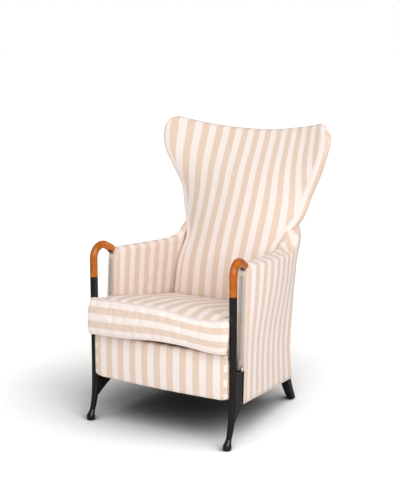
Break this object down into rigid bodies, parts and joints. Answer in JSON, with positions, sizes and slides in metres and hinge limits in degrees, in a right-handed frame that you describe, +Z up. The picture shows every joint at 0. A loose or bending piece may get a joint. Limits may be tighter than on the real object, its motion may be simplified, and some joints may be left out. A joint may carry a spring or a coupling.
{
  "type": "wingback armchair",
  "caption": "Wingback armchair with a butterfly-shaped striped back, padded arms, bent cane handles on black posts, a loose boxed seat cushion and splayed black legs.",
  "frame": {"origin": "on the floor, below the middle of the chair's outline", "axes": "+Z up, the sitter faces -Y, +X to the sitter's left"},
  "size_m": [0.722, 0.7524, 1.069],
  "materials": {
    "striped_fabric": "woven, matt, white and beige stripes",
    "foam": "open-cell foam",
    "webbing": "herringbone webbing",
    "dust_cloth": "thin black non-woven cloth",
    "zip_tape": "taupe woven tape",
    "black_lacquer": "gloss black lacquer",
    "cane_wood": "glossy honey-brown varnish",
    "frame_wood": "raw beech and plywood",
    "dark_steel": "dark grey satin",
    "zip_metal": "nickel",
    "glide_nylon": "matt"
  },
  "bodies": {
    "chair": {"apron": "striped_fabric", "arm_cover_left": "striped_fabric", "arm_cover_right": "striped_fabric", "arm_handle_left": "cane_wood", "arm_handle_right": "cane_wood", "arm_panel_left": "frame_wood", "arm_panel_right": "frame_wood", "back_stile_left": "frame_wood", "back_stile_right": "frame_wood", "back_upholstery": "striped_fabric", "back_webbing": "webbing", "bracket_screws": "dark_steel", "corner_blocks": "frame_wood", "corner_screws": "dark_steel", "crest_rail": "frame_wood", "dust_cover": "dust_cloth", "floor_glides": "glide_nylon", "front_leg_left": "black_lacquer", "front_leg_right": "black_lacquer", "front_rail": "frame_wood", "handle_bracket_left": "dark_steel", "handle_bracket_right": "dark_steel", "handle_dowels": "frame_wood", "knee_bracket_left": "black_lacquer", "knee_bracket_right": "black_lacquer", "lower_back_rail": "frame_wood", "lumbar_rail": "frame_wood", "outside_back_panel": "striped_fabric", "rear_leg_left": "black_lacquer", "rear_leg_right": "black_lacquer", "rear_rail": "frame_wood", "seat_deck": "striped_fabric", "seat_webbing": "webbing", "side_rail_left": "frame_wood", "side_rail_right": "frame_wood", "wing_frame_left": "frame_wood", "wing_frame_right": "frame_wood", "zip_chain_left": "zip_metal", "zip_chain_right": "zip_metal", "zip_tape_left": "zip_tape", "zip_tape_right": "zip_tape"},
    "seat_cushion": {"cushion_cover": "striped_fabric", "cushion_core": "foam"},
    "zip_slider_left": {"zip_slider_left": "zip_metal"},
    "zip_slider_right": {"zip_slider_right": "zip_metal"},
    "zip_pull_left": {"zip_pull_left": "zip_metal"},
    "zip_pull_right": {"zip_pull_right": "zip_metal"}
  },
  "joints": [
    {"name": "cushion_lift", "type": "slide", "parent": "chair", "child": "seat_cushion", "axis": [0, 0, 1], "range_m": [0, 0.38]},
    {"name": "zip_run_left", "type": "slide", "parent": "chair", "child": "zip_slider_left", "axis": [-0.0065, 0.0573, 0.9983], "range_m": [0, 0.285]},
    {"name": "zip_run_right", "type": "slide", "parent": "chair", "child": "zip_slider_right", "axis": [0.0065, 0.0573, 0.9983], "range_m": [0, 0.285]},
    {"name": "pull_swing_left", "type": "hinge", "parent": "zip_slider_left", "child": "zip_pull_left", "pos_m": [0.2791, -0.24207, 0.28543], "axis": [-0.9936, -0.1132, 0], "range_deg": [0, 170]},
    {"name": "pull_swing_right", "type": "hinge", "parent": "zip_slider_right", "child": "zip_pull_right", "pos_m": [-0.2791, -0.24207, 0.28543], "axis": [-0.9936, 0.1132, 0], "range_deg": [0, 170]}
  ]
}
